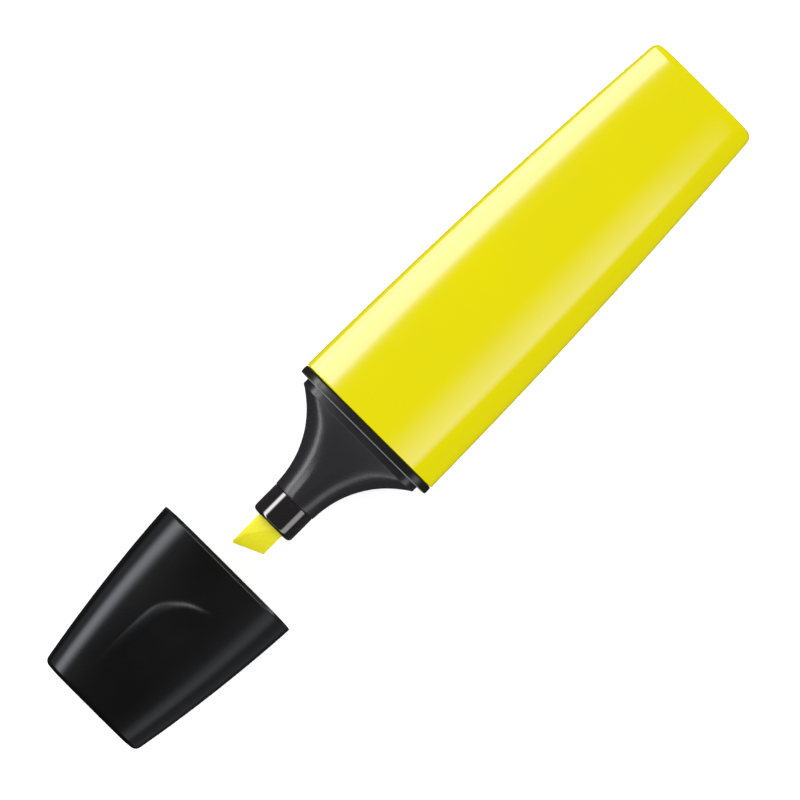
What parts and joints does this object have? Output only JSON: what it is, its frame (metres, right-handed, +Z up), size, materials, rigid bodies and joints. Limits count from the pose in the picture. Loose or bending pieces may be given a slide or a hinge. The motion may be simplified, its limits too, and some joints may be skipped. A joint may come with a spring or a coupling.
{
  "type": "highlighter",
  "caption": "Flat chisel-tip highlighter with a bright barrel, black concave neck and tapered pull-off cap, shown uncapped in line.",
  "frame": {"origin": "on the surface the pen lies on, under the middle of the whole layout with the cap parked ahead of the nib", "axes": "+X along the pen from the cap to the tail, +Y across the broad face, +Z up through the broad face"},
  "size_m": [0.1344, 0.027, 0.017],
  "materials": {
    "barrel_plastic": "bright yellow, satin gloss",
    "neck_plastic": "black, satin",
    "sleeve_plastic": "black, polished",
    "nib_fibre": "bonded fibre soaked with yellow ink",
    "reservoir_fibre": "fibre bundle soaked with yellow ink",
    "reservoir_film": "clear film",
    "cap_plastic": "black, satin gloss",
    "seal_plastic": "black, plain"
  },
  "bodies": {
    "pen": {"barrel": "barrel_plastic", "front_section": "neck_plastic", "nib_sleeve": "sleeve_plastic", "nib": "nib_fibre", "reservoir_core": "reservoir_fibre", "reservoir_wrap": "reservoir_film"},
    "cap": {"cap_shell": "cap_plastic", "cap_seal": "seal_plastic"}
  },
  "joints": [
    {"name": "cap_slide", "type": "slide", "parent": "pen", "child": "cap", "axis": [1, 0, 0], "range_m": [0, 0.0295]}
  ]
}
